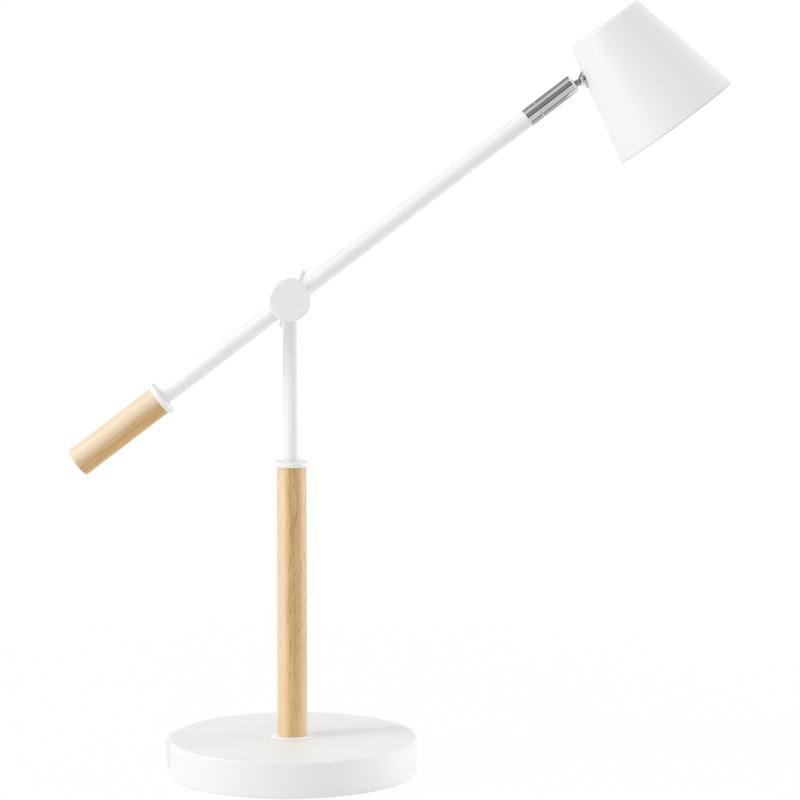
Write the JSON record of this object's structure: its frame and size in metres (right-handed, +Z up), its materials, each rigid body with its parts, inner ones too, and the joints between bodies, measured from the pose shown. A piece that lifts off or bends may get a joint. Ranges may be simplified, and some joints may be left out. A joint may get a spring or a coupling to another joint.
{
  "type": "desk lamp",
  "caption": "White desk lamp with a wooden pole, a counterweighted swing arm that locks at its pivot, and a cone shade with an LED module on a chrome ball joint.",
  "frame": {"origin": "on the desk, under the middle of the round base", "axes": "+Z up, +X towards the shade, -Y towards the side that the pivot's disc faces"},
  "size_m": [0.4697, 0.18, 0.5547],
  "materials": {
    "white_plastic": "satin",
    "white_paint": "satin",
    "wood": "satin",
    "chrome": "polished",
    "steel": "satin",
    "iron": "matte",
    "rubber": "matte",
    "dark_plastic": "matte",
    "light_window": "gloss",
    "board": "satin",
    "nylon": "satin",
    "fibre": "matte",
    "wire": "satin",
    "aluminium": "satin",
    "led_board": "satin",
    "led": "satin",
    "opal": "satin"
  },
  "bodies": {
    "base": {"base_shell": "white_plastic", "floor_plate": "steel", "ballast": "iron", "foot_pad": "rubber", "base_screws": "steel", "touch_pad": "white_plastic", "touch_contact": "steel", "status_light": "light_window", "control_board": "board", "board_screws": "steel", "port_plate": "white_plastic", "power_socket": "dark_plastic", "inlet_wire": "wire", "base_wire": "wire", "base_ring": "white_plastic", "pole": "wood", "tie_rod": "steel", "rod_washer": "steel", "rod_nut": "steel", "pole_collar": "white_paint", "collar_screw": "steel", "swivel_washer": "nylon"},
    "upright": {"upright_tube": "white_paint", "rear_hub": "white_paint", "upright_wire": "wire"},
    "arm": {"arm_tube": "white_paint", "arm_hub": "white_paint", "pivot_cap": "white_paint", "pivot_bolt": "steel", "friction_washer": "fibre", "counterweight": "wood", "weight_slug": "steel", "weight_collar": "white_paint", "socket_base": "chrome", "swivel_clip": "steel", "arm_wire": "wire"},
    "lock": {"lock_nut": "white_paint", "lock_bar": "white_paint"},
    "socket": {"socket_sleeve": "chrome", "seat_spring": "steel", "ball_seat": "nylon"},
    "ball": {"ball_stem": "chrome"},
    "head": {"stem_flange": "chrome", "shade": "white_paint", "stem_washer": "steel", "stem_nut": "steel", "heat_sink": "aluminium", "sink_screws": "steel", "led_board": "led_board", "led_chips": "led", "diffuser": "opal", "head_wire": "wire"}
  },
  "joints": [
    {"name": "post_swivel", "type": "hinge", "parent": "base", "child": "upright", "pos_m": [0, 0, 0.225], "axis": [0, 0, 1], "range_deg": [-170, 170]},
    {"name": "arm_tilt", "type": "hinge", "parent": "upright", "child": "arm", "pos_m": [0, -0.007, 0.3435], "axis": [0, -1, 0], "range_deg": [-60, 35]},
    {"name": "lock_turn", "type": "hinge", "parent": "arm", "child": "lock", "pos_m": [0, 0.0148, 0.3435], "axis": [0, 1, 0], "range_deg": [0, 180]},
    {"name": "socket_swivel", "type": "hinge", "parent": "arm", "child": "socket", "pos_m": [0.17628, -0.014, 0.47828], "axis": [0.7944, 0, 0.6074], "range_deg": [-170, 170]},
    {"name": "head_tilt", "type": "hinge", "parent": "socket", "child": "ball", "pos_m": [0.19701, -0.014, 0.49413], "axis": [0, 1, 0], "range_deg": [-30, 65]},
    {"name": "head_spin", "type": "hinge", "parent": "ball", "child": "head", "pos_m": [0.19701, -0.014, 0.49413], "axis": [0.9135, 0, 0.4067], "range_deg": [-150, 150]}
  ]
}
